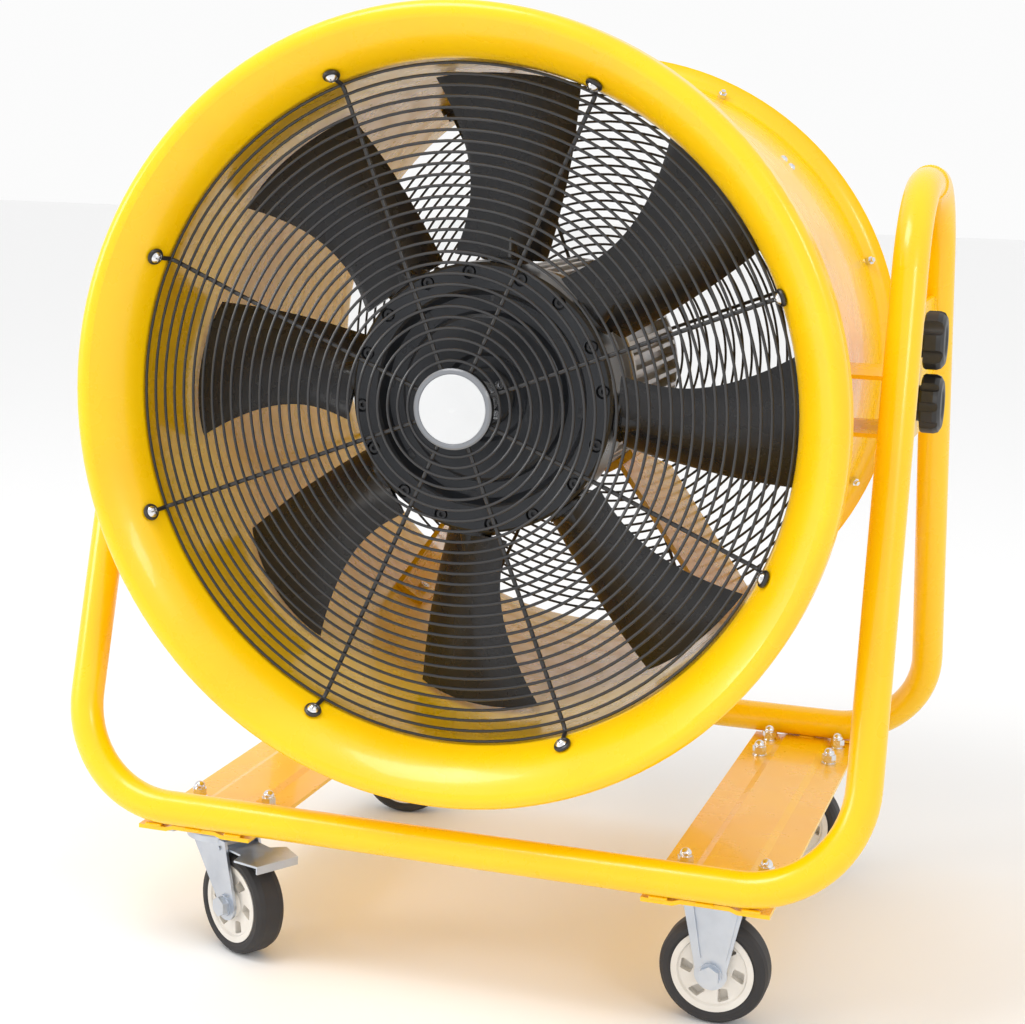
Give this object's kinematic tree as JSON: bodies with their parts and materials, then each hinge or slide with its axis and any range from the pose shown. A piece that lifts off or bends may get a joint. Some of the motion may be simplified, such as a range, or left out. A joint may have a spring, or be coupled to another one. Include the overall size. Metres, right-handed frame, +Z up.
{
  "type": "axial air mover",
  "caption": "Portable axial ventilator: bell-mouthed drum with guarded fan and finned motor, tilting in a tube frame on casters.",
  "frame": {"origin": "on the ground, midway between the drum's ends and between the two side tubes", "axes": "+Z up, +Y from the bell-mouthed inlet towards the outlet, +X towards the rigid casters"},
  "size_m": [0.8, 0.5921, 0.9056],
  "materials": {
    "yellow_paint": "gloss",
    "black_paint": "satin",
    "black_blade": "satin moulded",
    "black_knob": "satin moulded",
    "black_rubber": "matte",
    "tyre": "matte",
    "rim": "satin moulded",
    "zinc": "zinc plated",
    "bright_steel": "bright plated",
    "black_hub": "satin black paint",
    "aluminium": "cast",
    "copper_steel": "plain laminations",
    "badge_white": "satin"
  },
  "bodies": {
    "frame": {"frame_loop_front": "yellow_paint", "frame_loop_rear": "yellow_paint", "cross_plate_left": "yellow_paint", "cross_plate_right": "yellow_paint", "side_plate_left": "yellow_paint", "side_plate_right": "yellow_paint", "caster_bolts": "zinc", "caster_nuts": "bright_steel", "rigid_fork_front": "zinc", "rigid_fork_rear": "zinc", "rigid_axles": "zinc", "swivel_plate_front": "zinc", "swivel_plate_rear": "zinc"},
    "drum": {"barrel": "yellow_paint", "inlet_bell": "yellow_paint", "outlet_flare": "yellow_paint", "barrel_bolts": "bright_steel", "front_guard": "black_paint", "rear_guard": "black_paint", "guard_badge": "badge_white", "guard_grommets": "black_rubber", "guard_screws_front": "bright_steel", "guard_screws_rear": "bright_steel", "motor_housing": "aluminium", "motor_front_cover": "aluminium", "motor_rear_cover": "aluminium", "stator": "copper_steel", "motor_lead": "black_rubber", "lead_glands": "black_knob", "switch_box": "black_knob", "motor_leg_left": "yellow_paint", "motor_leg_right": "yellow_paint", "tilt_bracket_left": "yellow_paint", "tilt_bracket_right": "yellow_paint"},
    "fan": {"fan_blades": "black_blade", "hub_front": "black_hub", "hub_rear": "black_hub", "hub_screws": "bright_steel", "fan_shaft": "zinc"},
    "rocker": {"switch_rocker": "black_blade"},
    "pivot_knob_left_body": {"pivot_knob_left": "black_knob"},
    "lock_knob_left_body": {"lock_knob_left": "black_knob"},
    "pivot_knob_right_body": {"pivot_knob_right": "black_knob"},
    "lock_knob_right_body": {"lock_knob_right": "black_knob"},
    "rigid_wheel_front": {"rigid_rim_front": "rim", "rigid_tyre_front": "tyre"},
    "swivel_front": {"swivel_fork_front": "zinc", "swivel_axle_front": "zinc"},
    "swivel_wheel_front": {"swivel_rim_front": "rim", "swivel_tyre_front": "tyre"},
    "brake_front": {"brake_pedal_front": "zinc", "brake_shoe_front": "black_rubber"},
    "rigid_wheel_rear": {"rigid_rim_rear": "rim", "rigid_tyre_rear": "tyre"},
    "swivel_rear": {"swivel_fork_rear": "zinc", "swivel_axle_rear": "zinc"},
    "swivel_wheel_rear": {"swivel_rim_rear": "rim", "swivel_tyre_rear": "tyre"},
    "brake_rear": {"brake_pedal_rear": "zinc", "brake_shoe_rear": "black_rubber"}
  },
  "joints": [
    {"name": "drum_tilt", "type": "hinge", "parent": "frame", "child": "drum", "pos_m": [0, 0, 0.55], "axis": [-1, 0, 0], "range_deg": [-10, 45]},
    {"name": "fan_spin", "type": "hinge", "parent": "drum", "child": "fan", "pos_m": [0, 0, 0.55], "axis": [0, 1, 0], "continuous": true},
    {"name": "switch_rock", "type": "hinge", "parent": "drum", "child": "rocker", "pos_m": [-0.1638, 0.15, 0.84794], "axis": [-0.8763, 0, -0.4818], "range_deg": [-8, 8]},
    {"name": "pivot_knob_turn_left", "type": "hinge", "parent": "drum", "child": "pivot_knob_left_body", "pos_m": [-0.388, 0, 0.55], "axis": [-1, 0, 0], "continuous": true},
    {"name": "lock_knob_turn_left", "type": "hinge", "parent": "drum", "child": "lock_knob_left_body", "pos_m": [-0.388, 0, 0.61], "axis": [-1, 0, 0], "continuous": true},
    {"name": "pivot_knob_turn_right", "type": "hinge", "parent": "drum", "child": "pivot_knob_right_body", "pos_m": [0.388, 0, 0.55], "axis": [1, 0, 0], "continuous": true},
    {"name": "lock_knob_turn_right", "type": "hinge", "parent": "drum", "child": "lock_knob_right_body", "pos_m": [0.388, 0, 0.61], "axis": [1, 0, 0], "continuous": true},
    {"name": "rigid_wheel_roll_front", "type": "hinge", "parent": "frame", "child": "rigid_wheel_front", "pos_m": [0.247, -0.201, 0.05], "axis": [0, 1, 0], "continuous": true},
    {"name": "swivel_turn_front", "type": "hinge", "parent": "frame", "child": "swivel_front", "pos_m": [-0.247, -0.201, 0.1], "axis": [0, 0, 1], "continuous": true},
    {"name": "swivel_wheel_roll_front", "type": "hinge", "parent": "swivel_front", "child": "swivel_wheel_front", "pos_m": [-0.21409, -0.22, 0.05], "axis": [0.5, 0.866, 0], "continuous": true},
    {"name": "brake_press_front", "type": "hinge", "parent": "swivel_front", "child": "brake_front", "pos_m": [-0.22275, -0.215, 0.1042], "axis": [0.5, 0.866, 0], "range_deg": [0, 4]},
    {"name": "rigid_wheel_roll_rear", "type": "hinge", "parent": "frame", "child": "rigid_wheel_rear", "pos_m": [0.247, 0.224, 0.05], "axis": [0, 1, 0], "continuous": true},
    {"name": "swivel_turn_rear", "type": "hinge", "parent": "frame", "child": "swivel_rear", "pos_m": [-0.247, 0.224, 0.1], "axis": [0, 0, 1], "continuous": true},
    {"name": "swivel_wheel_roll_rear", "type": "hinge", "parent": "swivel_rear", "child": "swivel_wheel_rear", "pos_m": [-0.20983, 0.2319, 0.05], "axis": [-0.2079, 0.9781, 0], "continuous": true},
    {"name": "brake_press_rear", "type": "hinge", "parent": "swivel_rear", "child": "brake_rear", "pos_m": [-0.21961, 0.22982, 0.1042], "axis": [-0.2079, 0.9781, 0], "range_deg": [0, 4]}
  ]
}
